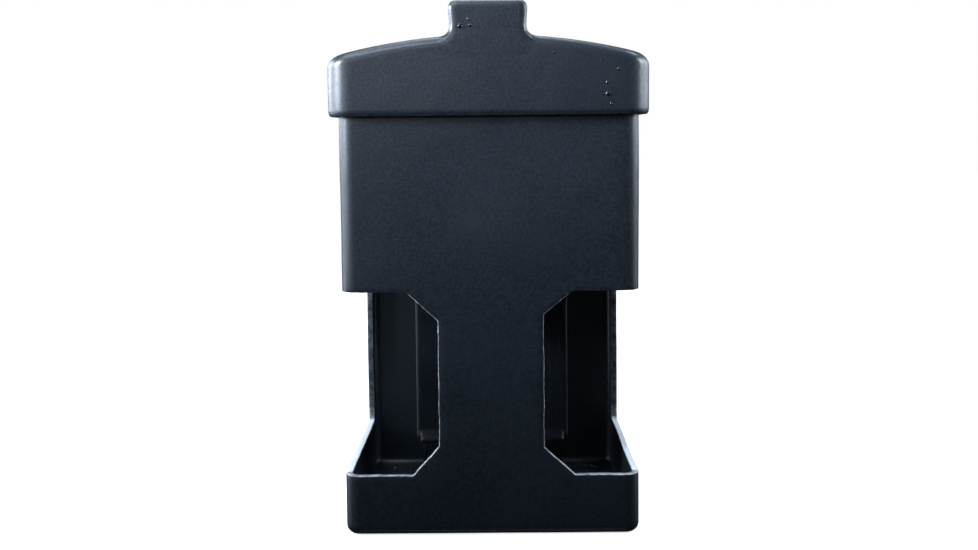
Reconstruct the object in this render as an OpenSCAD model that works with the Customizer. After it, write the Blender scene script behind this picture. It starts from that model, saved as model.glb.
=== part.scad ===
// Bait station for rodents and possums: a hopper, front column and feeding trough moulded as
// one shell, a lift-off lid with a grip tab, and a drop-in funnel that meters the bait.
// The front faces -Y, the back that is screwed to a post or tree faces +Y, and the origin is
// under the middle of the trough. All sizes are in millimetres.

/* [Body shell] */
// Width across the side walls
body_w = 200; // [170:1:260]
// Depth from the front wall to the back wall
body_d = 170; // [150:1:220]
// Height from the underside to the hopper rim
body_h = 318.5; // [290:0.5:400]
// Wall thickness of the shell
wall = 4.5; // [3:0.25:6]
// Radius of the upright corners
corner_r = 10; // [8:0.5:20]
// Radius of the edge round the underside
base_r = 6; // [3:0.5:8]

/* [Feeding windows] */
// Height of the trough rim above the underside
trough_h = 41.5; // [30:0.5:50]
// Height of the windows, from the trough rim to the hopper edge
window_h = 125; // [100:1:130]
// Width of the front column between the windows
column_w = 71; // [50:1:90]
// Width of the cut corners where the column meets the hopper and the trough
chamfer_w = 20; // [5:0.5:24]
// Height of the same cut corners
chamfer_h = 18.5; // [5:0.5:28]
// Distance from the back face to the rear end of the windows
window_rear = 12; // [11:1:25]

/* [Lid] */
// Wall thickness of the lid
lid_wall = 4.5; // [3:0.25:6]
// Clearance between the lid's skirt and the body, all round
lid_gap = 2.25; // [1:0.25:4]
// Clearance between the hopper rim and the lid's ceiling above its sides
seat_gap = 0.5; // [0.4:0.1:1.5]
// Distance that the skirt hangs below the hopper rim
skirt_overlap = 35.5; // [20:0.5:50]
// Radius of the arched top, seen from the front
arch_r = 397; // [300:1:600]
// Radius of the edge round the top
lid_edge_r = 6.5; // [5:0.5:8]

/* [Grip tab] */
// Width of the tab near its top
tab_w = 52.6; // [40:0.1:70]
// Width of the tab at its neck
tab_neck_w = 49.8; // [36:0.1:66]
// Height of the tab above the crown of the lid
tab_h = 22; // [18:0.5:35]
// Depth of the tab, from front to back
tab_d = 28; // [20:1:50]
// Radius of the tab's corners
tab_corner_r = 5.5; // [3:0.5:8]
// Radius of the blends at the tab's root
tab_root_r = 4.5; // [2:0.5:6]

/* [Feed funnel] */
// Thickness of the funnel's walls
funnel_wall = 3; // [2:0.25:4]
// Clearance between the funnel's collar and the body walls
funnel_gap = 0.8; // [0.5:0.1:2]
// Height of the upright collar at the funnel's top
collar_h = 13; // [8:1:25]
// Height of the funnel's sloping part
slope_h = 52; // [40:1:60]
// Width of the chute, outside
chute_w = 109; // [90:1:115]
// Depth of the chute, outside
chute_d = 75; // [60:1:80]
// Distance from the front face of the body to the front of the chute
chute_front = 60; // [50:1:62]
// Height of the chute's lip above the underside of the body
lip_h = 52; // [42:1:70]
// Height of the sloping part's lower end above the hopper edge
throat_rise = 5; // [2:1:12]
// Clearance under the foot of the chute's back wall
foot_gap = 0.4; // [0.3:0.1:1]

/* [Holes] */
// Diameter of the mounting holes in the back wall
mount_hole_d = 6.5; // [4:0.5:10]
// Height of the lower mounting hole
mount_low_z = 100; // [60:1:140]
// Distance between the mounting holes
mount_spacing = 162; // [150:1:170]
// Diameter of the drain holes in the trough floor
drain_d = 5; // [3:0.5:8]
// Distance of the drain holes from the outer faces
drain_inset = 20; // [16:1:24]

/* [Hidden] */

// Facets on drawn circles, on hull parts and along the arch
fine = 96;
hull_fn = 24;
arch_steps = 10;
// Overshoot of cutters
eps = 1;

shell_colour = [0.12, 0.13, 0.15];
lid_colour = [0.14, 0.15, 0.17];
funnel_colour = [0.08, 0.085, 0.095];

inner_w = body_w - 2 * wall;
inner_d = body_d - 2 * wall;
window_top = trough_h + window_h;
column_side = column_w / 2;
chamfer_side = column_side + chamfer_w;

lid_offset = lid_gap + lid_wall;
lid_w = body_w + 2 * lid_offset;
lid_d = body_d + 2 * lid_offset;
lid_corner_r = corner_r + lid_offset;
lid_bottom = body_h - skirt_overlap;
ceiling_r = arch_r - lid_wall;
ceiling_rise = ceiling_r - sqrt(pow(ceiling_r, 2) - pow(body_w / 2, 2));
ceiling_crown = body_h + seat_gap + ceiling_rise;
lid_crown = ceiling_crown + lid_wall;
cavity_edge_r = max(1.5, lid_edge_r - lid_wall);
tab_top = lid_crown + tab_h;
tab_front = -lid_d / 2;

throat_z = window_top + throat_rise;
collar_z = throat_z + slope_h;
funnel_w = inner_w - 2 * funnel_gap;
funnel_d = inner_d - 2 * funnel_gap;
funnel_corner_r = corner_r - wall - funnel_gap / 2;
chute_y0 = chute_front - body_d / 2;
chute_y1 = chute_y0 + chute_d;

// Rectangle centred on the origin with round corners
module rounded_rect(w, d, r) {
    square([w - 2 * r, d], center = true);
    square([w, d - 2 * r], center = true);
    for (sx = [-1, 1], sy = [-1, 1])
        translate([sx * (w / 2 - r), sy * (d / 2 - r)]) circle(r = r, $fn = fine);
}

// Disc of radius r whose rim is rounded to the radius edge, for a hull's corner
module rolled_edge(r, edge) {
    rotate_extrude($fn = hull_fn)
        intersection() {
            translate([r - edge, 0]) circle(r = edge, $fn = hull_fn);
            translate([0, -edge]) square([r, 2 * edge]);
        }
}

// Upright block with round upright corners and a rounded lower edge
module tub(w, d, h, r, edge) {
    hull()
        for (sx = [-1, 1], sy = [-1, 1])
            translate([sx * (w / 2 - r), sy * (d / 2 - r), 0]) {
                translate([0, 0, edge]) rolled_edge(r, edge);
                translate([0, 0, edge]) cylinder(r = r, h = h - edge, $fn = hull_fn);
            }
}

// One feeding window as seen from the front, on the +X side
module window_outline() {
    side = body_w;
    polygon([
        [side, trough_h],
        [chamfer_side, trough_h],
        [column_side, trough_h + chamfer_h],
        [column_side, window_top - chamfer_h],
        [chamfer_side, window_top],
        [side, window_top]
    ]);
}

// Space that both windows take out of the front wall and the side walls
module window_cuts() {
    depth = body_d - window_rear;
    front_cut = wall + corner_r;
    for (turn = [0, 1]) mirror([turn, 0, 0]) {
        translate([0, front_cut - body_d / 2, 0])
            rotate([90, 0, 0]) linear_extrude(front_cut + eps) window_outline();
        translate([body_w / 2 - corner_r - wall, -body_d / 2 - eps, trough_h])
            cube([2 * corner_r + wall, depth + eps, window_h]);
    }
}

// Screw holes through the back wall, one above the other
module mounting_holes() {
    for (z = [mount_low_z, mount_low_z + mount_spacing])
        translate([0, body_d / 2 + eps, z])
            rotate([90, 0, 0]) cylinder(d = mount_hole_d, h = wall + 2 * eps, $fn = fine);
}

// Holes that let rain water out of the trough
module drain_holes() {
    for (sx = [-1, 1], sy = [-1, 1])
        translate([sx * (body_w / 2 - drain_inset), sy * (body_d / 2 - drain_inset), -eps])
            cylinder(d = drain_d, h = wall + 2 * eps, $fn = fine);
}

module station_body() {
    color(shell_colour)
        difference() {
            tub(body_w, body_d, body_h, corner_r, base_r);
            translate([0, 0, wall])
                tub(inner_w, inner_d, body_h, corner_r - wall, max(1, base_r - wall));
            window_cuts();
            mounting_holes();
            drain_holes();
        }
}

// Height of an arch of radius r with its crown at the given height
function arch_z(x, r, crown) = crown - r + sqrt(r * r - x * x);

// Upright block with an arched top, round corners and a rounded top edge
module arched_block(w, d, r, edge, low, crown, roof_r) {
    straight = w / 2 - r;
    hull() {
        for (sx = [-1, 1], sy = [-1, 1])
            translate([sx * straight, sy * (d / 2 - r), 0]) {
                translate([0, 0, low]) cylinder(r = r, h = eps, $fn = hull_fn);
                translate([0, 0, arch_z(w / 2 - edge, roof_r, crown) - edge])
                    rolled_edge(r, edge);
            }
        for (i = [0 : arch_steps], sy = [-1, 1])
            let (x = straight * (2 * i / arch_steps - 1))
                translate([x, sy * (d / 2 - edge), arch_z(x, roof_r, crown) - edge])
                    sphere(r = edge, $fn = hull_fn);
    }
}

// Front outline of the tab: round top corners, a slight neck and blends into the lid
module tab_outline(inset) {
    top = tab_top - inset;
    wide = tab_w / 2 - inset;
    neck = tab_neck_w / 2 - inset;
    r = max(1, tab_corner_r - inset);
    root = lid_crown + tab_root_r;
    hull() {
        for (sx = [-1, 1]) translate([sx * (wide - r), top - r]) circle(r = r, $fn = hull_fn);
        translate([-neck, lid_crown - 2 * tab_root_r]) square([2 * neck, 3 * tab_root_r]);
    }
    if (inset == 0)
        for (turn = [0, 1]) mirror([turn, 0, 0])
            difference() {
                translate([0, lid_crown - 2 * tab_root_r])
                    square([neck + tab_root_r, 3 * tab_root_r]);
                translate([neck + tab_root_r, root]) circle(r = tab_root_r, $fn = fine);
            }
}

// Tab standing on the front of the lid, or the hollow inside it
module tab_block(inset) {
    translate([0, tab_front + tab_d - inset, 0])
        rotate([90, 0, 0]) linear_extrude(tab_d - 2 * inset) tab_outline(inset);
}

module lid() {
    color(lid_colour)
        difference() {
            union() {
                arched_block(lid_w, lid_d, lid_corner_r, lid_edge_r, lid_bottom, lid_crown,
                    arch_r);
                tab_block(0);
            }
            arched_block(lid_w - 2 * lid_wall, lid_d - 2 * lid_wall, lid_corner_r - lid_wall,
                cavity_edge_r, lid_bottom - 2 * eps, ceiling_crown, ceiling_r);
            tab_block(lid_wall);
        }
}

// Four-sided taper from the collar's outline down to the chute's outline
module taper(inset) {
    top_x = funnel_w / 2 - inset;
    low_x = chute_w / 2 - inset;
    top_y = funnel_d / 2 - inset;
    lap = inset > 0 ? eps : 0;
    intersection() {
        translate([0, body_d / 2, 0]) rotate([90, 0, 0]) linear_extrude(body_d)
            polygon([[-low_x, throat_z - lap], [low_x, throat_z - lap], [low_x, throat_z],
                [top_x, collar_z], [top_x, collar_z + lap], [-top_x, collar_z + lap],
                [-top_x, collar_z], [-low_x, throat_z]]);
        translate([-body_w / 2, 0, 0]) rotate([90, 0, 90]) linear_extrude(body_w)
            polygon([[chute_y0 + inset, throat_z - lap], [chute_y1 - inset, throat_z - lap],
                [chute_y1 - inset, throat_z], [top_y, collar_z], [top_y, collar_z + lap],
                [-top_y, collar_z + lap], [-top_y, collar_z], [chute_y0 + inset, throat_z]]);
    }
}

module feed_funnel() {
    foot_z = wall + foot_gap;
    color(funnel_colour)
        difference() {
            union() {
                translate([0, 0, collar_z])
                    linear_extrude(collar_h) rounded_rect(funnel_w, funnel_d, funnel_corner_r);
                intersection() {
                    taper(0);
                    linear_extrude(body_h) rounded_rect(funnel_w, funnel_d, funnel_corner_r);
                }
                translate([-chute_w / 2, chute_y0, lip_h])
                    cube([chute_w, chute_d, throat_z - lip_h]);
                translate([-chute_w / 2, chute_y1 - funnel_wall, foot_z])
                    cube([chute_w, funnel_wall, lip_h - foot_z + eps]);
            }
            translate([0, 0, collar_z])
                linear_extrude(collar_h + eps)
                    rounded_rect(funnel_w - 2 * funnel_wall, funnel_d - 2 * funnel_wall,
                        max(1, funnel_corner_r - funnel_wall));
            taper(funnel_wall);
            translate([funnel_wall - chute_w / 2, chute_y0 + funnel_wall, lip_h - eps])
                cube([chute_w - 2 * funnel_wall, chute_d - 2 * funnel_wall,
                    throat_z - lip_h + 2 * eps]);
        }
}

station_body();
lid();
feed_funnel();
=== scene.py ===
"""Looks of the bait station: moulded shell, lid and feed funnel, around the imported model."""

import math

import bmesh
import bpy
import numpy as np
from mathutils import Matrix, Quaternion, Vector, geometry, noise


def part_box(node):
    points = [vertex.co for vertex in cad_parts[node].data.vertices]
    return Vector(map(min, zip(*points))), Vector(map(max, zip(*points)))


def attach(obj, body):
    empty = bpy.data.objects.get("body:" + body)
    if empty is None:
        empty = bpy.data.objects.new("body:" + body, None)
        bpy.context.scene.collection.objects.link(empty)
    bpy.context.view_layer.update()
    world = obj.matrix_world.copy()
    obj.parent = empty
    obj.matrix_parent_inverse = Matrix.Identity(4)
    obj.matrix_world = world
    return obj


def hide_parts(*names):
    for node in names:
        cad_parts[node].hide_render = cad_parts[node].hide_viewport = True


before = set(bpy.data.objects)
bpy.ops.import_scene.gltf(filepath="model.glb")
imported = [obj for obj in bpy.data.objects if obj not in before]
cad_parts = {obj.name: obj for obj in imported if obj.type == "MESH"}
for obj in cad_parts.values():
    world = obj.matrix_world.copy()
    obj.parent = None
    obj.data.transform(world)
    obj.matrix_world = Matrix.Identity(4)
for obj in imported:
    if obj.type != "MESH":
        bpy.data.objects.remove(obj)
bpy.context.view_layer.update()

MM = 0.001
SEED = 7

# ---------------------------------------------------------------- sizes, in millimetres
body_low, body_high = (np.array(corner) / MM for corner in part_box("station_body"))
lid_low, lid_high = (np.array(corner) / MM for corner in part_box("lid"))
funnel_low, funnel_high = (np.array(corner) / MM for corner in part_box("feed_funnel"))

# Body
BODY_W, BODY_D, BODY_H = body_high - body_low
WALL = 4.5
CORNER_R = 10.0
BASE_R = 6.0
FLOOR_FILLET = 4.5
RIM_ROUND = 1.0

TROUGH_RIM = 41.5
HOPPER_EDGE = 166.5
COLUMN_HALF = 35.5
WINDOW_REAR = 12.0
WINDOW_CORNER_R = 1.6
CUT_EDGE = 0.6          # width of the whitened edge on each side of a cut, partly wear and partly painted highlight
CUT_WAVE = 0.35         # how far a cut wanders from its line
WALL_WAVE = 0.55        # how far a moulded wall waves over its length
WALL_RIPPLE = 0.10      # and over a few millimetres

MOUNT_HOLES_Z = (100.0, 262.0)
MOUNT_HOLE_R = 3.25
DRAIN_R = 2.5
DRAIN_INSET = 20.0

# Spacing of the points of each mesh
FLAT_STEP = 4.0
CORNER_STEPS = 12
FLOOR_STEP = 6.0
CUT_STEP = 1.8
LID_STEP = 1.4
FUNNEL_STEP = 1.7
MARGIN = 3.0            # room around a piece that is made from distances

# Lid and its grip tab
LID_W, LID_D = (lid_high - lid_low)[:2]
LID_BOTTOM, TAB_TOP = lid_low[2], lid_high[2]
LID_CORNER_R = 16.75
LID_EDGE_R = 6.5
ARCH_R = 397.0
TAB_H = 22.0
TAB_HALF = 26.3
TAB_NECK_HALF = 24.9
TAB_D = 28.0
TAB_CORNER_R = 5.5
TAB_ROOT_R = 5.0
TAB_EDGE_R = 4.2
TAB_SINK = 10.0         # below this depth under the crown, the tab's front leaves the lid's
SKIRT_ROUND = 4.0
HOLLOW_EDGE_R = 3.0
LID_CROWN = TAB_TOP - TAB_H

# Feed funnel
COLLAR_EASE = 0.6       # keeps the collar off the hopper's wavy walls
FUNNEL_W, FUNNEL_D = (funnel_high - funnel_low)[:2] - 2 * COLLAR_EASE
FUNNEL_FOOT, FUNNEL_TOP = funnel_low[2], funnel_high[2]
FUNNEL_WALL = 3.0
FUNNEL_CORNER_R = 1.5
THROAT_Z = 171.5
COLLAR_Z = 223.5
CHUTE_HALF = 54.5
CHUTE_FRONT = -25.0
CHUTE_BACK = 50.0
LIP_Z = 52.0
LIP_REACH = 5.0         # how far the chute's lip leans forwards
LIP_HALF = 1.3          # half the lip's thickness
EDGE_ROUND = 1.0        # rounding of the funnel's cut edges

# Width and height of each corner cut of the windows, seen from the front. They differ a
# little from one to the next, because the windows are cut by hand.
CORNER_CUTS = {
    (-1, "top"): (21.4, 19.3),
    (1, "top"): (19.7, 15.6),
    (-1, "bottom"): (18.1, 20.1),
    (1, "bottom"): (20.7, 18.9),
}


# ---------------------------------------------------------------- mesh helpers
class Patchwork:
    """Gathers faces, then welds the points that coincide into one mesh."""

    def __init__(self):
        self.points, self.wear_and_highlight, self.faces, self.count = [], [], [], 0

    def add(self, points, faces, wear_and_highlight=0.0):
        points = np.asarray(points, float)
        self.points.append(points)
        self.wear_and_highlight.append(np.broadcast_to(np.asarray(wear_and_highlight, float), len(points)))
        self.faces += [[i + self.count for i in face] for face in faces]
        self.count += len(points)

    def strip(self, rows, wear_and_highlight, closed=True):
        """Faces between rows of points, each row as long as the next."""
        size = len(rows[0])
        points = np.concatenate(rows)
        faces = []
        for j in range(len(rows) - 1):
            for i in range(size if closed else size - 1):
                k = (i + 1) % size
                faces.append((j * size + i, j * size + k, (j + 1) * size + k, (j + 1) * size + i))
        self.add(points, faces, np.concatenate([np.broadcast_to(w, size) for w in wear_and_highlight]))

    def mesh(self, name, shape=None):
        points = np.concatenate(self.points)
        wear_and_highlight = np.concatenate(self.wear_and_highlight)
        keys = np.round(points / 0.004).astype(np.int64)
        _, first, index = np.unique(keys, axis=0, return_index=True, return_inverse=True)
        index = index.ravel()
        faces = []
        for face in self.faces:
            ring = [index[i] for i in face]
            ring = [v for i, v in enumerate(ring) if v != ring[i - 1]]
            if len(set(ring)) == len(ring) > 2:
                faces.append(ring)
        points = points[first]
        if shape is not None:
            points = shape(points)
        return solid(name, points, faces, wear_and_highlight[first])


def solid(name, points, faces, wear_and_highlight=None):
    """A smooth-shaded object from points in millimetres, with its wear and painted highlight as an
    attribute.
    """
    data = bpy.data.meshes.new(name)
    data.from_pydata([tuple(p) for p in np.asarray(points) * MM], [], [list(f) for f in faces])
    data.validate()
    if wear_and_highlight is not None:
        layer = data.attributes.new("wear_and_highlight", "FLOAT", "POINT")
        layer.data.foreach_set("value", np.asarray(wear_and_highlight, np.float32))
    data.shade_smooth()
    obj = bpy.data.objects.new(name, data)
    bpy.context.scene.collection.objects.link(obj)
    return obj


def outward(obj):
    """Turns every face of a closed mesh the right way out."""
    bm = bmesh.new()
    bm.from_mesh(obj.data)
    bmesh.ops.recalc_face_normals(bm, faces=bm.faces)
    bm.to_mesh(obj.data)
    bm.free()


def triangulate(loops, filler, keep):
    """Triangles over filler points, with every loop's edges kept. keep says which stay."""
    points, edges = [], []
    for loop in loops:
        start = len(points)
        points += [tuple(p) for p in loop]
        edges += [(start + i, start + (i + 1) % len(loop)) for i in range(len(loop))]
    points += [tuple(p) for p in filler]
    out, _, faces = geometry.delaunay_2d_cdt([Vector(p) for p in points], edges, [], 0, 1e-4)[:3]
    out = np.array([tuple(p) for p in out])
    centres = np.array([out[list(f)].mean(0) for f in faces])
    return out, [f for f, ok in zip(faces, keep(centres)) if ok]


def inside(points, loop):
    """Which points lie inside a closed loop."""
    x, y = points[:, 0], points[:, 1]
    hit = np.zeros(len(points), bool)
    for (x0, y0), (x1, y1) in zip(loop, np.roll(loop, -1, 0)):
        if y0 == y1:
            continue
        crosses = (y0 > y) != (y1 > y)
        hit ^= crosses & (x < (x1 - x0) * (y - y0) / (y1 - y0) + x0)
    return hit


def near(points, loop, reach):
    """Which points lie within reach of a loop's points."""
    gap = np.full(len(points), 1e9)
    for p in loop:
        gap = np.minimum(gap, np.hypot(*(points - p).T))
    return gap < reach


def spaced(start, stop, step):
    """Even numbers from start to stop, about a step apart."""
    return np.linspace(start, stop, max(2, int(round(abs(stop - start) / step)) + 1))


# ---------------------------------------------------------------- outline of the shell
class Plan:
    """A rectangle with round corners, walked by length from the middle of its front."""

    def __init__(self, w, d, r):
        self.w, self.d, self.r = w, d, r
        self.front, self.arc, self.side = w / 2 - r, math.pi * r / 2, d - 2 * r
        self.half = 2 * self.front + 2 * self.arc + self.side
        self.corner1 = self.front + self.arc
        self.corner2 = self.corner1 + self.side
        self.back = self.corner2 + self.arc

    def at(self, s, inset):
        """Points x, y at walked lengths s, moved inwards by inset."""
        s = (np.asarray(s, float) + self.half) % (2 * self.half) - self.half
        sign, u = np.where(s < 0, -1.0, 1.0), np.abs(s)
        angle = np.where(u < self.corner1, (u - self.front) / self.r, math.pi / 2)
        angle = np.where(u > self.corner2, math.pi / 2 + (u - self.corner2) / self.r, angle)
        angle = np.clip(angle, 0, math.pi)
        nx, ny = np.sin(angle), -np.cos(angle)
        x = np.minimum(u, self.front)
        x = np.where(u > self.back, self.front - (u - self.back), x)
        rise = np.clip(u - self.corner1, 0, self.side)
        y = self.r - self.d / 2 + rise
        x = x + self.r * nx
        y = y + self.r * ny
        return sign * (x - inset * nx), y - inset * ny

    def samples(self, start, flat_step, corner_steps):
        """Walked lengths right round from start, closer together at the corners."""
        stops = [-self.half, -self.back, -self.corner2, -self.corner1, -self.front,
                 self.front, self.corner1, self.corner2, self.back, self.half]
        marks = []
        for a, b in zip(stops, stops[1:]):
            curved = abs((b - a) - self.arc) < 1e-6
            marks += list(spaced(a, b, self.arc / corner_steps if curved else flat_step)[:-1])
        marks = np.array(marks)
        marks = np.where(marks < start, marks + 2 * self.half, marks)
        return np.unique(np.round(np.append(marks, [start, start + 2 * self.half]), 6))


plan = Plan(BODY_W, BODY_D, CORNER_R)
SEAM = -(plan.half - 50.0)


def wander(points, scale, amount, seed):
    """A smooth random number for each point, up to about amount."""
    shift = Vector((seed * 17.3, seed * 5.1, seed * 9.7))
    return np.array([noise.noise(Vector(p) / scale + shift) for p in points]) * amount


def rounded_polygon(corners, radius, step):
    """Points along a polygon whose corners are rounded, about a step apart."""
    corners = np.asarray(corners, float)
    out = []
    size = len(corners)
    for i in range(size):
        before, here, after = corners[i - 1], corners[i], corners[(i + 1) % size]
        a, b = before - here, after - here
        a, b = a / np.hypot(*a), b / np.hypot(*b)
        half = math.acos(np.clip(a @ b, -1, 1)) / 2
        reach = radius / math.tan(half)
        arc = [here + a * reach * (1 - t) ** 2 + b * reach * t ** 2 for t in (0, 0.25, 0.5, 0.75, 1)]
        if out:
            gap = np.hypot(*(arc[0] - out[-1]))
            for t in spaced(0, 1, step / gap)[1:-1]:
                out.append(last + (arc[0] - last) * t)
        out += arc
        last = out[-1]
    gap = np.hypot(*(out[0] - last))
    out += [last + (out[0] - last) * t for t in spaced(0, 1, step / gap)[1:-1]]
    return np.array(out)


def window_loop(side):
    """The cut line of one window, as walked length and height. side is -1 left, 1 right."""
    rear = plan.corner1 + BODY_D - WINDOW_REAR - CORNER_R
    top_w, top_h = CORNER_CUTS[side, "top"]
    low_w, low_h = CORNER_CUTS[side, "bottom"]
    corners = [
        (COLUMN_HALF + low_w, TROUGH_RIM), (rear, TROUGH_RIM), (rear, HOPPER_EDGE),
        (COLUMN_HALF + top_w, HOPPER_EDGE), (COLUMN_HALF, HOPPER_EDGE - top_h),
        (COLUMN_HALF, TROUGH_RIM + low_h),
    ]
    loop = rounded_polygon(corners, WINDOW_CORNER_R, CUT_STEP)
    waves = wander(np.c_[loop, np.full(len(loop), side)], 14, CUT_WAVE, SEED)
    ragged = wander(np.c_[loop, np.full(len(loop), side)], 2.6, CUT_WAVE * 0.6, SEED + 1)
    loop = loop + loop_normals(loop) * (waves + ragged)[:, None]
    return loop * (side, 1)


def loop_normals(loop):
    """Unit vectors away from the inside of a loop."""
    run = np.roll(loop, -1, 0) - np.roll(loop, 1, 0)
    normal = np.c_[run[:, 1], -run[:, 0]]
    normal /= np.hypot(*normal.T)[:, None]
    area = 0.5 * np.sum(loop[:, 0] * np.roll(loop[:, 1], -1) - np.roll(loop[:, 0], -1) * loop[:, 1])
    return normal if area > 0 else -normal


def on_side_rim(loop):
    """Which points of a window's loop lie on the trough's rim, at the side of the station."""
    return (np.abs(loop[:, 0]) > plan.corner1) & (loop[:, 1] < TROUGH_RIM + 2)


def edge_wear_and_highlight(loop):
    """How white a window's cut edge is: most at the trough, least above and behind. The white is partly
    wear and partly a painted highlight.
    """
    reach = plan.corner1 + BODY_D - WINDOW_REAR - CORNER_R
    cut_wear_and_highlight = np.where(loop[:, 1] > HOPPER_EDGE - 2, 0.1, 0.75)
    cut_wear_and_highlight = np.where(np.abs(loop[:, 0]) > reach - 2, 0.3, cut_wear_and_highlight)
    cut_wear_and_highlight = np.where(loop[:, 1] < TROUGH_RIM + 12, 1.0, cut_wear_and_highlight)
    patches = wander(np.c_[loop, np.zeros(len(loop))], 9, 0.9, SEED + 5)
    # The trough's side rims are set fully white: a painted highlight.
    return np.where(on_side_rim(loop), 1.0, np.clip(cut_wear_and_highlight * (1 + patches), 0, 0.85))


def circle_loop(x, y, radius, steps=20):
    """Points round a circle."""
    turn = np.linspace(0, 2 * math.pi, steps, endpoint=False)
    return np.c_[x + radius * np.cos(turn), y + radius * np.sin(turn)]


def on_wall(flat, inset):
    """Points of the shell from walked length and height."""
    x, y = plan.at(flat[:, 0], inset)
    return np.c_[x, y, flat[:, 1]]


def warp(points):
    """The slight waviness that a moulded wall has."""
    low = wander(points, 70, WALL_WAVE, SEED + 2)
    fine = wander(points, 16, WALL_RIPPLE, SEED + 3)
    centre = points * (1, 1, 0)
    reach = np.maximum(np.hypot(*centre[:, :2].T), 1)[:, None]
    return points + centre / reach * (low + fine)[:, None]


# ---------------------------------------------------------------- body
def build_body():
    """Hopper, column, back wall and trough in one closed mesh."""
    work = Patchwork()
    windows = [window_loop(-1), window_loop(1)]
    holes = [circle_loop(plan.half, z, MOUNT_HOLE_R) for z in MOUNT_HOLES_Z]
    walked = plan.samples(SEAM, FLAT_STEP, CORNER_STEPS)

    def wall_surface(inset, low, high):
        heights = spaced(low, high, FLAT_STEP)
        frame_loop = np.concatenate([
            np.c_[walked, np.full(len(walked), low)],
            np.c_[np.full(len(heights) - 2, walked[-1]), heights[1:-1]],
            np.c_[walked, np.full(len(walked), high)][::-1],
            np.c_[np.full(len(heights) - 2, walked[0]), heights[1:-1][::-1]],
        ])
        edges = [loop + loop_normals(loop) * CUT_EDGE for loop in windows] + holes
        grid = np.array([(s, z) for s in walked[1:-1] for z in heights[1:-1]])
        drop = np.zeros(len(grid), bool)
        for edge in edges:
            drop |= inside(grid, edge) | near(grid, edge, 1.3)

        def keep(centres):
            gone = np.zeros(len(centres), bool)
            for edge in edges:
                gone |= inside(centres, edge)
            return ~gone

        flat, faces = triangulate([frame_loop] + edges, grid[~drop], keep)
        work.add(on_wall(flat, inset), faces)

    wall_surface(0, BASE_R, BODY_H - RIM_ROUND)
    wall_surface(WALL, WALL + FLOOR_FILLET, BODY_H - RIM_ROUND)

    # Cut faces of the windows, from the outer surface to the inner one: each row's depth, and
    # its share of the whitened edge, which is partly wear and partly painted highlight
    depths = [(0, 1.0), (0.12, 0.35), (0.4, 0.1), (0.8, 0), (1.6, 0), (2.7, 0), (3.7, 0),
              (4.1, 0.1), (4.38, 0.35), (WALL, 1.0)]
    for loop in windows:
        normals = loop_normals(loop)
        rows = []
        for depth, share in depths:
            rough = 0.0
            if 0 < depth < WALL:
                rough = wander(np.c_[loop, np.full(len(loop), depth)], 2.2, 0.16, SEED + 4)
            offset = np.broadcast_to(share * CUT_EDGE + rough, len(loop))
            rows.append(on_wall(loop + normals * offset[:, None], depth))
        cut_wear_and_highlight = edge_wear_and_highlight(loop)
        # Through the cut face the side rims stay fully white as a painted highlight; elsewhere the
        # middle rows are lightly whitened.
        middle_wear_and_highlight = np.where(on_side_rim(loop), 1.0, 0.4)
        shares = [0.0, 0.7, 1.0, np.maximum(middle_wear_and_highlight, 0.8), middle_wear_and_highlight, middle_wear_and_highlight, middle_wear_and_highlight,
                  np.maximum(middle_wear_and_highlight, 0.8), 0.7, 0.0]
        work.strip(rows, [cut_wear_and_highlight * share for share in shares])

    for hole in holes:
        work.strip([on_wall(hole, t) for t in (0, WALL / 2, WALL)], [0.0, 0.2, 0.0])

    # Rim of the hopper: depth and height of each row
    ring = walked[:-1]
    rim = [(0, -1.0), (0.12, -0.5), (0.5, -0.12), (1.0, 0), (WALL / 2, 0), (WALL - 1.0, 0),
           (WALL - 0.5, -0.12), (WALL - 0.12, -0.5), (WALL, -1.0)]
    work.strip([on_wall(np.c_[ring, np.full(len(ring), BODY_H + drop)], t) for t, drop in rim],
               [0.0, 0.3, 0.6, 0.5, 0.4, 0.5, 0.6, 0.3, 0.0])

    # Rounded edges of the underside and of the trough floor
    turns = np.linspace(0, math.pi / 2, 8)

    def lower_edge(inset, floor, radius):
        rows = [on_wall(np.c_[ring, np.full(len(ring), floor + radius * (1 - math.sin(a)))],
                        inset + radius * (1 - math.cos(a))) for a in turns]
        work.strip(rows, np.zeros(len(turns)))
        return rows[-1]

    drain_x, drain_y = BODY_W / 2 - DRAIN_INSET, BODY_D / 2 - DRAIN_INSET
    drains = [circle_loop(sx * drain_x, sy * drain_y, DRAIN_R, 16) for sx in (-1, 1) for sy in (-1, 1)]
    for edge_row in (lower_edge(0, 0, BASE_R), lower_edge(WALL, WALL, FLOOR_FILLET)):
        outline = edge_row[:, :2]
        xs = spaced(outline[:, 0].min(), outline[:, 0].max(), FLOOR_STEP)[1:-1]
        ys = spaced(outline[:, 1].min(), outline[:, 1].max(), FLOOR_STEP)[1:-1]
        grid = np.array([(x, y) for x in xs for y in ys])
        drop = ~inside(grid, outline) | near(grid, outline, 1.5)
        for drain in drains:
            drop |= inside(grid, drain) | near(grid, drain, 1.5)

        def keep(centres):
            gone = ~inside(centres, outline)
            for drain in drains:
                gone |= inside(centres, drain)
            return ~gone

        flat, faces = triangulate([outline] + drains, grid[~drop], keep)
        work.add(np.c_[flat, np.full(len(flat), edge_row[0, 2])], faces)
    for drain in drains:
        work.strip([np.c_[drain, np.full(len(drain), z)] for z in (0, WALL)], [0.0, 0.0])

    body = work.mesh("moulded_body", warp)
    outward(body)
    return body


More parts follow.
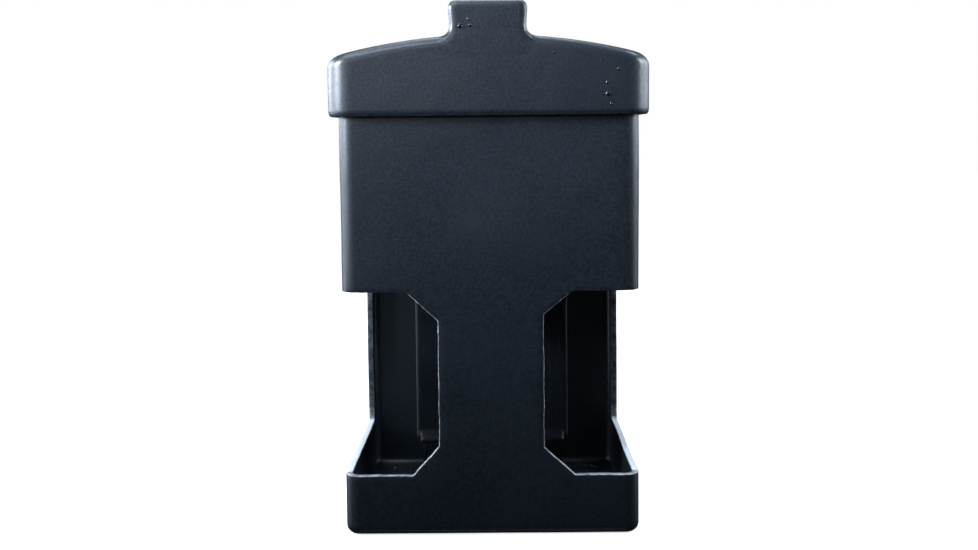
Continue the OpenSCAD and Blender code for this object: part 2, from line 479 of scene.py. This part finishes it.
# ---------------------------------------------------------------- meshes from distances
def surface_net(distance, low, high, step):
    """Quads over the zero surface of distance(x, y, z), pulled onto it."""
    axes = [np.arange(a, b + step, step) for a, b in zip(low, high)]
    grid = np.stack(np.meshgrid(*axes, indexing="ij"), -1)
    value = distance(grid[..., 0], grid[..., 1], grid[..., 2])
    sign = value < 0
    cells = tuple(n - 1 for n in value.shape)

    def corner(offset):
        return tuple(slice(offset[i], offset[i] + cells[i]) for i in range(3))

    # One point in each cell that the surface passes: the mean of its crossings
    total = np.zeros(cells + (3,))
    count = np.zeros(cells)
    offsets = [(i, j, k) for i in (0, 1) for j in (0, 1) for k in (0, 1)]
    for a in offsets:
        for axis in range(3):
            if a[axis]:
                continue
            b = tuple(1 if i == axis else a[i] for i in range(3))
            va, vb = value[corner(a)], value[corner(b)]
            cross = sign[corner(a)] != sign[corner(b)]
            share = np.where(cross, va / np.where(va == vb, 1, va - vb), 0)
            for i in range(3):
                total[..., i] += np.where(cross, a[i] + (share if i == axis else 0), 0)
            count += cross
    used = count > 0
    index = np.full(cells, -1)
    index[used] = np.arange(used.sum())
    where = np.argwhere(used)
    points = (where + total[used] / count[used][:, None]) * step + np.array(low)

    # One quad round each grid edge that the surface crosses
    faces = []
    for axis in range(3):
        u, v = [i for i in range(3) if i != axis]
        first, second = [slice(None)] * 3, [slice(None)] * 3
        first[axis], second[axis] = slice(0, -1), slice(1, None)
        cross = sign[tuple(first)] != sign[tuple(second)]
        at = np.argwhere(cross)
        at = at[(at[:, u] > 0) & (at[:, v] > 0) & (at[:, u] < cells[u]) & (at[:, v] < cells[v])]
        corners = []
        for du, dv in ((1, 1), (0, 1), (0, 0), (1, 0)):
            cell = at.copy()
            cell[:, u] -= du
            cell[:, v] -= dv
            corners.append(index[tuple(cell.T)])
        quads = np.stack(corners, 1)
        low_inside = sign[tuple(first)][tuple(at.T)]
        flip = low_inside if axis != 1 else ~low_inside
        quads[~flip] = quads[~flip][:, ::-1]
        faces.append(quads)
    faces = np.concatenate(faces)

    # Pull the points onto the surface
    for _ in range(5):
        here = distance(*points.T)
        slope = np.stack([
            (distance(*(points + shift).T) - distance(*(points - shift).T)) / 0.02
            for shift in np.eye(3) * 0.01
        ], 1)
        length = np.maximum((slope ** 2).sum(1), 0.25)
        move = -slope * (here / length)[:, None]
        points = points + np.clip(move, -step / 3, step / 3)
    return points, faces


def smooth_min(a, b, k):
    """The lesser of two distances, blended where they differ by less than k."""
    h = np.maximum(k - np.abs(a - b), 0) / k
    return np.minimum(a, b) - h * h * k / 4


def smooth_max(a, b, k):
    """The greater of two distances, blended where they differ by less than k."""
    return -smooth_min(-a, -b, k)


def rounded_pair(a, b, r):
    """Distance to where both a and b are negative, its edge rounded to r."""
    a, b = a + r, b + r
    return np.hypot(np.maximum(a, 0), np.maximum(b, 0)) + np.minimum(np.maximum(a, b), 0) - r


def plan_distance(x, y, w, d, r):
    """Distance to a rectangle with round corners, seen from above."""
    qx, qy = np.abs(x) - (w / 2 - r), np.abs(y) - (d / 2 - r)
    return np.hypot(np.maximum(qx, 0), np.maximum(qy, 0)) + np.minimum(np.maximum(qx, qy), 0) - r


def arch_distance(x, z, crown, r):
    """Distance to an arch of radius r under its crown's height."""
    return np.hypot(x, z - (crown - r)) - r


# ---------------------------------------------------------------- lid
def tab_distance(x, y, z, inset):
    """The grip tab, or the hollow inside it."""
    rise = np.clip((z - LID_CROWN) / TAB_H, 0, 1)
    half = TAB_NECK_HALF + (TAB_HALF - TAB_NECK_HALF) * rise - inset
    sides = np.abs(x) - half
    sunk = np.clip(LID_CROWN - TAB_SINK - z, 0, TAB_SINK)
    front = -LID_D / 2 + inset + sunk
    back = -LID_D / 2 + TAB_D - inset
    top = z - (TAB_TOP - inset)
    profile = rounded_pair(sides, top, max(1.5, TAB_CORNER_R - inset))
    slab = np.maximum(front - y, y - back)
    return rounded_pair(profile, slab, max(1.0, TAB_EDGE_R - inset))


def lid_distance(x, y, z):
    """Distance to the lid: arched cap, skirt and hollow grip tab."""
    outer = rounded_pair(plan_distance(x, y, LID_W, LID_D, LID_CORNER_R),
                         arch_distance(x, z, LID_CROWN, ARCH_R), LID_EDGE_R)
    tab = tab_distance(x, y, z, 0)
    blended = smooth_min(outer, tab, TAB_ROOT_R * 1.6)
    soft = np.clip((np.minimum(outer, tab) - blended) / 0.3, 0.001, 1)
    outer = smooth_max(blended, -LID_D / 2 - y, soft)
    hollow = rounded_pair(plan_distance(x, y, LID_W - 2 * WALL, LID_D - 2 * WALL, LID_CORNER_R - WALL),
                          arch_distance(x, z, LID_CROWN - WALL, ARCH_R - WALL), HOLLOW_EDGE_R)
    hollow = smooth_min(hollow, tab_distance(x, y, z, WALL), HOLLOW_EDGE_R)
    shell = smooth_max(outer, -hollow, 1.2)
    return smooth_max(shell, LID_BOTTOM - z, SKIRT_ROUND)


def build_lid():
    """The lid, a little worn along the skirt's foot."""
    low = (-LID_W / 2 - MARGIN, -LID_D / 2 - MARGIN, LID_BOTTOM - MARGIN)
    high = (LID_W / 2 + MARGIN, LID_D / 2 + MARGIN, TAB_TOP + MARGIN)
    points, faces = surface_net(lid_distance, low, high, LID_STEP)
    wear_and_highlight = np.clip(1 - (points[:, 2] - LID_BOTTOM) / 1.2, 0, 1) * 0.25
    lid = solid("moulded_lid", warp(points), faces, wear_and_highlight)
    outward(lid)
    return lid


# Small blisters that the moulding left on the front of the lid: x, z and radius
BLISTERS = [(-18.1, 341.6, 1.45), (-12.3, 345.9, 1.1), (-11.5, 341.9, 1.05), (77.5, 304.2, 1.0),
            (78.1, 296.9, 1.5), (80.1, 290.3, 0.9), (43.0, 323.8, 0.8), (84.8, 312.8, 1.0)]


def build_blisters():
    """Flattened beads, each let half its depth into the lid's front face."""
    work = Patchwork()
    turns = np.linspace(0, 2 * math.pi, 20, endpoint=False)
    for x, z, radius in BLISTERS:
        rows = []
        for tilt in np.linspace(0, math.pi, 13):
            ring = radius * math.sin(tilt)
            lift = 0.55 * radius * math.cos(tilt)
            rows.append(np.c_[x + ring * np.cos(turns), np.full(len(turns), -LID_D / 2 - lift),
                              z + 1.1 * ring * np.sin(turns)])
        work.strip(rows, np.zeros(len(rows)))
    blisters = work.mesh("lid_blisters", warp)
    outward(blisters)
    return blisters


# ---------------------------------------------------------------- feed funnel
def funnel_hull(x, y, z, inset):
    """The funnel's outer form, or with an inset the passage through it."""
    share = np.clip((z - THROAT_Z) / (COLLAR_Z - THROAT_Z), 0, 1)
    half = CHUTE_HALF + (FUNNEL_W / 2 - CHUTE_HALF) * share - inset
    front = CHUTE_FRONT + (-FUNNEL_D / 2 - CHUTE_FRONT) * share + inset
    back = CHUTE_BACK + (FUNNEL_D / 2 - CHUTE_BACK) * share - inset
    sides = np.abs(x) - half
    ends = np.maximum(front - y, y - back)
    # Across the slopes this overstates the distance, so it is eased there
    steep = 1 - 0.22 * ((share > 0) & (share < 1))
    return rounded_pair(sides, ends, max(1.0, FUNNEL_CORNER_R - inset)) * steep


def funnel_distance(x, y, z):
    """Distance to the funnel: collar, slopes, chute, back plate and leaning lip."""
    outer = smooth_max(funnel_hull(x, y, z, 0), np.maximum(z - FUNNEL_TOP, LIP_Z - z), EDGE_ROUND)
    half_wall = FUNNEL_WALL / 2
    plate = np.maximum(np.abs(x) - CHUTE_HALF, np.abs(y - CHUTE_BACK + half_wall) - half_wall)
    plate = smooth_max(plate, np.maximum(z - LIP_Z - 5, FUNNEL_FOOT - z), EDGE_ROUND)
    shell = smooth_max(outer, -funnel_hull(x, y, z, FUNNEL_WALL), EDGE_ROUND)
    lean = 0.7 * ((y - CHUTE_FRONT) - (z - LIP_Z - 3.5))
    lip = np.maximum(np.abs(lean) - LIP_HALF, np.abs(x) - CHUTE_HALF + 3)
    lip = smooth_max(lip, np.maximum(CHUTE_FRONT - LIP_REACH - y, y - CHUTE_FRONT - 2), EDGE_ROUND)
    return smooth_min(np.minimum(shell, plate), lip, EDGE_ROUND)


def build_funnel():
    """The feed funnel, in one closed mesh."""
    low = (-FUNNEL_W / 2 - MARGIN, -FUNNEL_D / 2 - MARGIN, FUNNEL_FOOT - MARGIN)
    high = (FUNNEL_W / 2 + MARGIN, FUNNEL_D / 2 + MARGIN, FUNNEL_TOP + MARGIN)
    points, faces = surface_net(funnel_distance, low, high, FUNNEL_STEP)
    funnel = solid("sheet_funnel", points, faces)
    outward(funnel)
    return funnel


# ---------------------------------------------------------------- materials
class Nodes:
    """Short calls for building one material's nodes."""

    def __init__(self, name):
        self.material = bpy.data.materials.new(name)
        self.material.use_nodes = True
        self.tree = self.material.node_tree
        self.shader = self.tree.nodes["Principled BSDF"]
        self.place = self.add("ShaderNodeTexCoord").outputs["Object"]

    def add(self, kind, **settings):
        node = self.tree.nodes.new(kind)
        for key, value in settings.items():
            setattr(node, key, value)
        return node

    def plug(self, node, **inputs):
        """Sets or links a node's inputs, by name, or as i0, i1 and so on by number."""
        for key, value in inputs.items():
            socket = node.inputs[int(key[1:])] if key[0] == "i" and key[1:].isdigit() else \
                node.inputs[key.replace("_", " ")]
            if isinstance(value, bpy.types.NodeSocket):
                self.tree.links.new(value, socket)
            else:
                socket.default_value = value
        return node

    def noise(self, scale, detail=2.0, rough=0.5):
        node = self.add("ShaderNodeTexNoise")
        self.plug(node, Vector=self.place, Scale=scale, Detail=detail, Roughness=rough)
        return node.outputs["Fac"]

    def cells(self, scale):
        node = self.add("ShaderNodeTexVoronoi")
        self.plug(node, Vector=self.place, Scale=scale)
        return node.outputs["Distance"]

    def ramp(self, value, low, high, start=0.0, end=1.0):
        node = self.add("ShaderNodeMapRange", interpolation_type="SMOOTHSTEP")
        self.plug(node, Value=value, From_Min=low, From_Max=high, To_Min=start, To_Max=end)
        return node.outputs["Result"]

    def math(self, kind, a, b=0.0):
        node = self.add("ShaderNodeMath", operation=kind)
        self.plug(node, i0=a, i1=b)
        return node.outputs[0]

    def mix(self, share, a, b):
        node = self.add("ShaderNodeMix", data_type="RGBA")
        self.plug(node, i0=share, i6=a, i7=b)
        return node.outputs[2]

    def wear_and_highlight(self):
        return self.add("ShaderNodeAttribute", attribute_name="wear_and_highlight").outputs["Fac"]

    def spot(self, centre, radius, soft):
        """1 within radius of a point of the object, in millimetres, fading to 0."""
        node = self.add("ShaderNodeVectorMath", operation="DISTANCE")
        self.plug(node, i0=self.place, i1=[c * MM for c in centre])
        return self.ramp(node.outputs["Value"], radius * MM, (radius + soft) * MM, 1.0, 0.0)


def shade(colour, share):
    """A colour made darker or lighter."""
    return tuple(c * share for c in colour) + (1,)


def highest(nodes, values):
    """The highest of several masks."""
    out = values[0]
    for value in values[1:]:
        out = nodes.math("MAXIMUM", out, value)
    return out


def moulded(name, colour, rough, pits=(), smudges=()):
    """Black moulded polyethylene: fine grain, specks, pinholes and pits with painted shade in them, and
    whitened cut edges that are partly a painted highlight.
    """
    n = Nodes(name)
    grain = n.noise(620, 3, 0.6)
    cloud = n.noise(16, 3, 0.5)
    tone = n.mix(n.ramp(grain, 0.36, 0.66), shade(colour, 0.5), shade(colour, 1.7))
    tone = n.mix(n.ramp(cloud, 0.35, 0.7, 0.0, 0.3), tone, shade(colour, 1.5))
    dust = n.math("MULTIPLY", n.ramp(n.cells(420), 0.0, 0.16, 1.0, 0.0),
                  n.ramp(n.noise(95, 1), 0.60, 0.66))
    tone = n.mix(n.math("MULTIPLY", dust, 0.5), tone, (0.20, 0.22, 0.26, 1))
    # Pinholes, and the listed pits below: their near-black colour is painted shade in the holes; they
    # also dip in the bump and are rougher.
    holes = n.math("MULTIPLY", n.ramp(n.cells(75), 0.025, 0.055, 1.0, 0.0),
                   n.ramp(n.noise(40, 1), 0.54, 0.58))
    if pits:
        holes = n.math("MAXIMUM", holes, highest(n, [n.spot(p[:3], p[3], 0.4) for p in pits]))
    tone = n.mix(holes, tone, (0.001, 0.001, 0.002, 1))
    if smudges:
        smudge = highest(n, [n.spot(p[:3], p[3], p[4]) for p in smudges])
        tone = n.mix(n.math("MULTIPLY", smudge, 0.6), tone, shade(colour, 0.2))
    # Whitened cut edges: partly real whitening of the cut, partly a painted highlight; where the value
    # nears 1, as on the trough's side rims, the white is a solid painted highlight.
    wear_and_highlight = n.wear_and_highlight()
    whitening_and_highlight = n.math("MULTIPLY", wear_and_highlight, n.ramp(n.noise(260, 3, 0.65), 0.34, 0.60, 0.25, 1.0))
    whitening_and_highlight = n.math("MAXIMUM", whitening_and_highlight, n.ramp(wear_and_highlight, 0.86, 0.97))
    tone = n.mix(n.math("MULTIPLY", whitening_and_highlight, 0.9), tone, (0.76, 0.79, 0.84, 1))
    n.plug(n.shader, Base_Color=tone)
    haze = n.ramp(n.noise(20, 3, 0.5), 0.3, 0.7, rough - 0.02, rough + 0.02)
    haze = n.math("ADD", haze, n.ramp(grain, 0.3, 0.7, 0.04, -0.04))
    haze = n.math("ADD", haze, n.math("MULTIPLY", holes, 0.4))
    if smudges:
        haze = n.math("ADD", haze, n.math("MULTIPLY", smudge, 0.16))
    n.plug(n.shader, Roughness=haze)
    n.shader.inputs["Specular IOR Level"].default_value = 0.5

    height = n.math("MULTIPLY", grain, 0.16)
    height = n.math("ADD", height, n.math("MULTIPLY", n.noise(210, 2, 0.5), 0.14))
    height = n.math("ADD", height, n.math("MULTIPLY", holes, -0.6))
    torn = n.math("MULTIPLY", wear_and_highlight, n.noise(900, 4, 0.7))
    height = n.math("ADD", height, n.math("MULTIPLY", torn, 0.8))
    bump = n.add("ShaderNodeBump")
    n.plug(bump, Height=height, Strength=0.6, Distance=0.5 * MM)
    n.plug(n.shader, Normal=bump.outputs["Normal"])
    return n.material


def sheet_plastic(name, colour, rough):
    """Smooth black sheet for the funnel, with long rub marks and dust on it."""
    n = Nodes(name)
    mottle = n.noise(26, 3, 0.6)
    tone = n.mix(n.ramp(mottle, 0.3, 0.7), shade(colour, 0.7), shade(colour, 1.4))
    stretched = n.add("ShaderNodeMapping")
    n.plug(stretched, Vector=n.place, Scale=(900, 900, 40))
    rubs = n.add("ShaderNodeTexNoise")
    n.plug(rubs, Vector=stretched.outputs["Vector"], Scale=1.0, Detail=3.0)
    rub = n.ramp(rubs.outputs["Fac"], 0.62, 0.75)
    tone = n.mix(n.math("MULTIPLY", rub, 0.15), tone, (0.12, 0.13, 0.15, 1))
    n.plug(n.shader, Base_Color=tone)
    n.plug(n.shader, Roughness=n.ramp(n.noise(45, 3, 0.6), 0.3, 0.7, rough - 0.06, rough + 0.08))
    bump = n.add("ShaderNodeBump")
    n.plug(bump, Height=n.noise(200, 3, 0.5), Strength=0.25, Distance=0.3 * MM)
    n.plug(n.shader, Normal=bump.outputs["Normal"])
    n.shader.inputs["Specular IOR Level"].default_value = 0.14
    return n.material


# ---------------------------------------------------------------- stage, light, camera
CAMERA_LENS = 43.92
CAMERA_SHIFT = -0.045
CAMERA_AT = (5.4, -874.5, 272.0)                        # millimetres
CAMERA_PITCH, CAMERA_YAW, CAMERA_ROLL = 4.700, 0.429, 0.569     # degrees
LIGHT_TINT = (0.90, 1.0, 1.15)
FLOOR_HALF = 6.0                                        # metres, like the lights' distances
MIDDLE, TOP = (0, 0, 0.25), (0, 0, 0.36)                # what the lights face


def build_camera():
    """The camera fitted to the photograph, looking down a little from in front."""
    data = bpy.data.cameras.new("camera")
    data.sensor_width = 36.0
    data.lens = CAMERA_LENS
    data.shift_y = CAMERA_SHIFT
    camera = bpy.data.objects.new("camera", data)
    bpy.context.scene.collection.objects.link(camera)
    camera.location = Vector(CAMERA_AT) * MM
    pitch, yaw, roll = (math.radians(turn) for turn in (CAMERA_PITCH, CAMERA_YAW, CAMERA_ROLL))
    look = Vector((-math.sin(yaw) * math.cos(pitch), math.cos(yaw) * math.cos(pitch), -math.sin(pitch)))
    camera.rotation_mode = "QUATERNION"
    camera.rotation_quaternion = look.to_track_quat("-Z", "Y") @ Quaternion((0, 0, 1), -roll)
    bpy.context.scene.camera = camera


def build_floor():
    """A pale glowing floor that fades into the white backdrop away from the station; its glow is dimmer
    near the station, a painted shadow.
    """
    data = bpy.data.meshes.new("floor")
    corners = [(x * FLOOR_HALF, y * FLOOR_HALF, 0) for x, y in ((-1, -1), (1, -1), (1, 1), (-1, 1))]
    data.from_pydata(corners, [], [(0, 1, 2, 3)])
    floor = bpy.data.objects.new("floor", data)
    bpy.context.scene.collection.objects.link(floor)
    n = Nodes("floor_white")
    tone = n.mix(n.ramp(n.noise(3, 2, 0.5), 0.3, 0.7), (0.78, 0.78, 0.78, 1), (0.82, 0.82, 0.82, 1))
    n.plug(n.shader, Base_Color=tone, Roughness=0.6)
    n.shader.inputs["Emission Color"].default_value = (1, 1, 1, 1)
    away = n.add("ShaderNodeVectorMath", operation="LENGTH")
    n.plug(away, i0=n.place)
    # The glow is weaker within about 0.2 to 0.6 m of the middle: a painted shadow round the station.
    n.plug(n.shader, Emission_Strength=n.ramp(away.outputs["Value"], 0.2, 0.6, 0.72, 1.0))
    floor.visible_diffuse = False
    floor.visible_glossy = False
    floor.visible_shadow = False
    data.materials.append(n.material)


def place_light(light, azimuth, elevation, distance, aim):
    """Puts a light at an azimuth left of the front and an elevation, facing a point."""
    a, e = math.radians(azimuth), math.radians(elevation)
    away = Vector((-math.sin(a) * math.cos(e), -math.cos(a) * math.cos(e), math.sin(e)))
    light.location = Vector(aim) + distance * away
    light.rotation_mode = "QUATERNION"
    light.rotation_quaternion = (-away).to_track_quat("-Z", "Y")
    light.visible_camera = False
    bpy.context.scene.collection.objects.link(light)


def panel(name, azimuth, elevation, distance, size, radiance, aim=MIDDLE):
    """A soft rectangular light."""
    data = bpy.data.lights.new(name, "AREA")
    data.shape = "RECTANGLE"
    data.size, data.size_y = size
    data.energy = radiance * math.pi * size[0] * size[1]
    data.color = LIGHT_TINT
    place_light(bpy.data.objects.new(name, data), azimuth, elevation, distance, aim)


def spot(name, azimuth, elevation, distance, power, aim=TOP):
    """A soft spot light that reaches the lid and fades out down the body."""
    data = bpy.data.lights.new(name, "SPOT")
    data.spot_size = math.radians(20)
    data.spot_blend = 0.6
    data.shadow_soft_size = 0.15
    data.energy = power
    data.color = LIGHT_TINT
    place_light(bpy.data.objects.new(name, data), azimuth, elevation, distance, aim)


def build_world():
    """White to the camera, and a dim room that is lighter above for everything else."""
    world = bpy.data.worlds.new("studio")
    bpy.context.scene.world = world
    world.use_nodes = True
    tree = world.node_tree
    room = tree.nodes["Background"]
    place = tree.nodes.new("ShaderNodeTexCoord")
    split = tree.nodes.new("ShaderNodeSeparateXYZ")
    tree.links.new(place.outputs["Generated"], split.inputs[0])
    height = tree.nodes.new("ShaderNodeMapRange")
    for key, value in (("From Min", -0.3), ("From Max", 0.8), ("To Min", 0.005), ("To Max", 0.04)):
        height.inputs[key].default_value = value
    tree.links.new(split.outputs["Z"], height.inputs["Value"])
    tree.links.new(height.outputs["Result"], room.inputs["Strength"])
    room.inputs["Color"].default_value = (1, 1, 1, 1)
    backdrop = tree.nodes.new("ShaderNodeBackground")
    backdrop.inputs["Color"].default_value = (1, 1, 1, 1)
    backdrop.inputs["Strength"].default_value = 1.0
    path = tree.nodes.new("ShaderNodeLightPath")
    mix = tree.nodes.new("ShaderNodeMixShader")
    tree.links.new(path.outputs["Is Camera Ray"], mix.inputs[0])
    tree.links.new(room.outputs[0], mix.inputs[1])
    tree.links.new(backdrop.outputs[0], mix.inputs[2])
    tree.links.new(mix.outputs[0], tree.nodes["World Output"].inputs["Surface"])


def build_light():
    """Soft studio light, strongest from the left, that fades out down the body."""
    build_world()
    panel("front_left_softbox", 33, 12, 1.2, (0.46, 0.5), 2.2)
    panel("mid_left_softbox", 60, 12, 1.2, (0.6, 0.5), 3.5)
    panel("near_front_softbox", 22, 42, 0.6, (0.25, 0.2), 11.0, TOP)
    panel("left_softbox", 90, 12, 1.2, (0.46, 0.5), 9.0)
    panel("left_rear_softbox", 118, 14, 1.2, (0.6, 0.5), 14.0)
    panel("front_fill", -38, 12, 1.2, (0.46, 0.5), 0.9)
    panel("right_softbox", -105, 14, 1.2, (1.0, 0.5), 7.0)
    panel("high_left_softbox", 62, 50, 0.8, (0.28, 0.28), 9.0, TOP)
    panel("high_right_softbox", -88, 50, 0.8, (0.28, 0.28), 12.0, TOP)
    panel("left_bounce", 100, -12, 1.2, (0.7, 0.4), 3.6)
    panel("right_bounce", -100, -12, 1.2, (0.7, 0.4), 1.3)
    panel("under_bounce", 0, -72, 1.0, (0.6, 0.4), 0.3)
    panel("top_left_softbox", 90, 70, 1.0, (0.5, 0.5), 2.5)
    panel("top_rear_softbox", 180, 70, 1.0, (0.5, 0.5), 6.0)
    panel("rear_softbox", 180, 19, 1.2, (1.3, 0.25), 3.0)
    spot("left_spot", 70, 12, 1.5, 270)
    spot("front_spot", 13, 12, 1.5, 9)
    spot("right_spot", -80, 12, 1.5, 80)
    bpy.context.scene.view_settings.view_transform = "Standard"


# ---------------------------------------------------------------- assembly
build_camera()
build_floor()
build_light()

# Pits in the lid, painted near-black as shade: x, y, z and radius. Smudges on the body: x, y, z, radius
# and how softly it ends
PITS = [(92.7, -91.0, 315.1, 0.6), (93.4, -91.0, 304.2, 0.5), (19.2, -91.75, 350.9, 0.6),
        (-63.6, -91.75, 312.8, 0.5), (-39.1, -91.75, 295.0, 0.5)]
SMUDGES = [(-12.5, -85, 214, 2.0, 6.0), (16.5, -85, 171, 0.5, 1.5)]

shell_black = moulded("shell_polyethylene", (0.0078, 0.0115, 0.0165), 0.38, smudges=SMUDGES)
lid_black = moulded("lid_polyethylene", (0.0082, 0.0120, 0.0170), 0.38, pits=PITS)
blister_black = moulded("blister_polyethylene", (0.0040, 0.0060, 0.0085), 0.16)
funnel_black = sheet_plastic("funnel_polyethylene", (0.005, 0.007, 0.010), 0.48)

body = build_body()
body.data.materials.append(shell_black)
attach(body, "station")
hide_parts("station_body")

lid = build_lid()
lid.data.materials.append(lid_black)
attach(lid, "lid")
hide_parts("lid")

blisters = build_blisters()
blisters.data.materials.append(blister_black)
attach(blisters, "lid")

funnel = build_funnel()
funnel.data.materials.append(funnel_black)
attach(funnel, "funnel")
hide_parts("feed_funnel")
